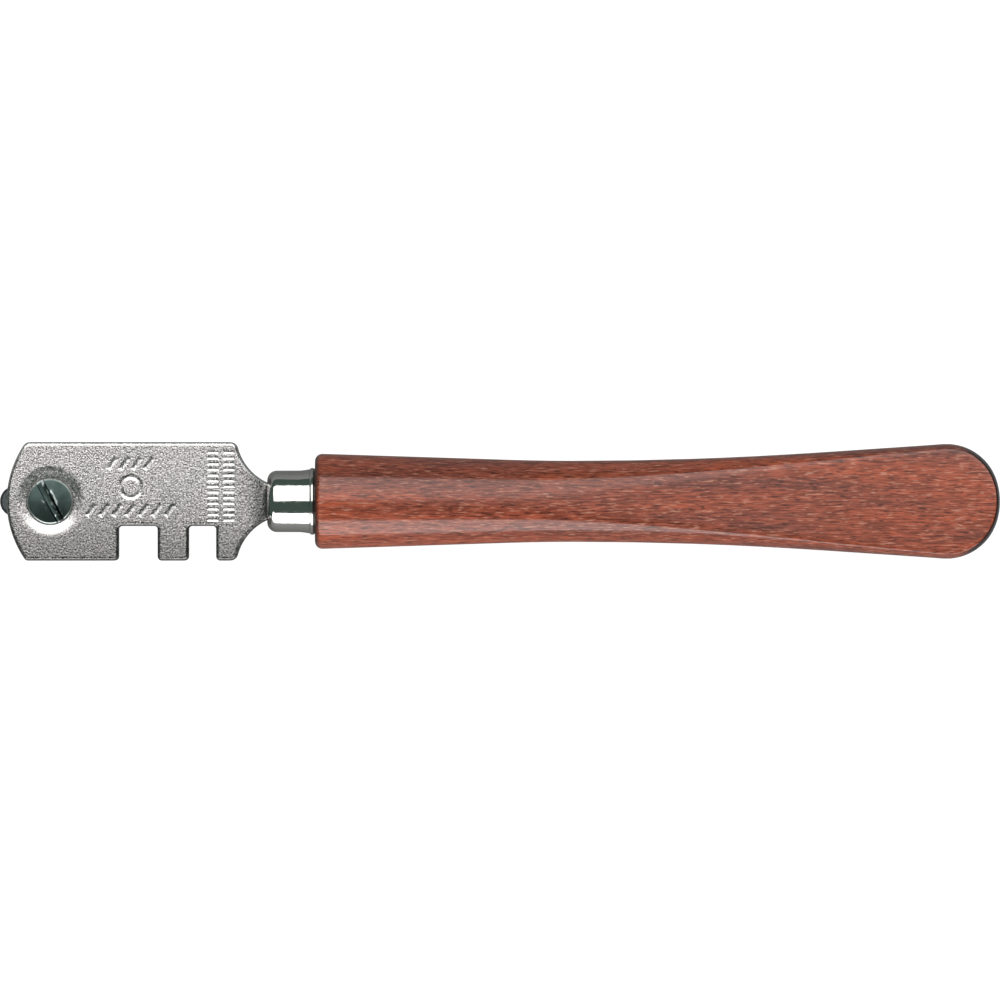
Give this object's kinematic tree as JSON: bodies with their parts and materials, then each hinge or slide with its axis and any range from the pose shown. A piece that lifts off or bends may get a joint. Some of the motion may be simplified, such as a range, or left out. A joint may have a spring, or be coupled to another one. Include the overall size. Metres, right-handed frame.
{
  "type": "glass cutter",
  "caption": "Turret glass cutter: slotted metal head with clamp screw, indexing turret of cutting wheels and breaking notches, on a ferruled wooden handle.",
  "frame": {"origin": "middle of the tool's length and width, at the height of the lowest point of the handle's shoulder", "axes": "+X from the cutting wheel to the butt of the handle, +Y from the notched edge to the plain edge of the head, +Z through the head's thickness towards the clamp screw's head"},
  "size_m": [0.13, 0.0154, 0.0124],
  "materials": {
    "plated_casting": "matte nickel plate over a fine-grained casting",
    "blackened_screw": "oil-blackened steel",
    "spring_steel": "dark spring steel",
    "bright_steel": "plain punched and turned steel",
    "hardened_wheel": "ground and polished hardened steel",
    "bright_nickel": "mirror-bright nickel plate",
    "stained_beech": "red-brown stain under satin lacquer"
  },
  "bodies": {
    "head": {"head_casting": "plated_casting", "ferrule": "bright_nickel", "handle": "stained_beech"},
    "turret": {"turret_front_disc": "bright_steel", "turret_rear_disc": "bright_steel", "turret_hub": "bright_steel", "axle_pin_1": "bright_steel", "axle_pin_2": "bright_steel", "axle_pin_3": "bright_steel", "axle_pin_4": "bright_steel", "axle_pin_5": "bright_steel", "axle_pin_6": "bright_steel"},
    "washer": {"spring_washer": "spring_steel"},
    "screw": {"clamp_screw": "blackened_screw"},
    "wheel_1": {"cutting_wheel_1": "hardened_wheel"},
    "wheel_2": {"cutting_wheel_2": "hardened_wheel"},
    "wheel_3": {"cutting_wheel_3": "hardened_wheel"},
    "wheel_4": {"cutting_wheel_4": "hardened_wheel"},
    "wheel_5": {"cutting_wheel_5": "hardened_wheel"},
    "wheel_6": {"cutting_wheel_6": "hardened_wheel"}
  },
  "joints": [
    {"name": "turret_index", "type": "hinge", "parent": "head", "child": "turret", "pos_m": [-0.0584, 0, 0.00618], "axis": [0, 0, 1], "continuous": true},
    {"name": "washer_lift", "type": "slide", "parent": "head", "child": "washer", "axis": [0, 0, 1], "range_m": [0, 0.0009]},
    {"name": "screw_turn", "type": "hinge", "parent": "washer", "child": "screw", "pos_m": [-0.0584, 0, 0.00618], "axis": [0, 0, 1], "range_deg": [0, 540]},
    {"name": "wheel_1_spin", "type": "hinge", "parent": "turret", "child": "wheel_1", "pos_m": [-0.063, 0, 0.00618], "axis": [0, 0, 1], "continuous": true},
    {"name": "wheel_2_spin", "type": "hinge", "parent": "turret", "child": "wheel_2", "pos_m": [-0.0607, -0.00398, 0.00618], "axis": [0, 0, 1], "continuous": true},
    {"name": "wheel_3_spin", "type": "hinge", "parent": "turret", "child": "wheel_3", "pos_m": [-0.0561, -0.00398, 0.00618], "axis": [0, 0, 1], "continuous": true},
    {"name": "wheel_4_spin", "type": "hinge", "parent": "turret", "child": "wheel_4", "pos_m": [-0.0538, 0, 0.00618], "axis": [0, 0, 1], "continuous": true},
    {"name": "wheel_5_spin", "type": "hinge", "parent": "turret", "child": "wheel_5", "pos_m": [-0.0561, 0.00398, 0.00618], "axis": [0, 0, 1], "continuous": true},
    {"name": "wheel_6_spin", "type": "hinge", "parent": "turret", "child": "wheel_6", "pos_m": [-0.0607, 0.00398, 0.00618], "axis": [0, 0, 1], "continuous": true}
  ],
  "couplings": [
    {"joint": "screw_turn", "follows": "washer_lift", "rad_per_m": 10472}
  ]
}
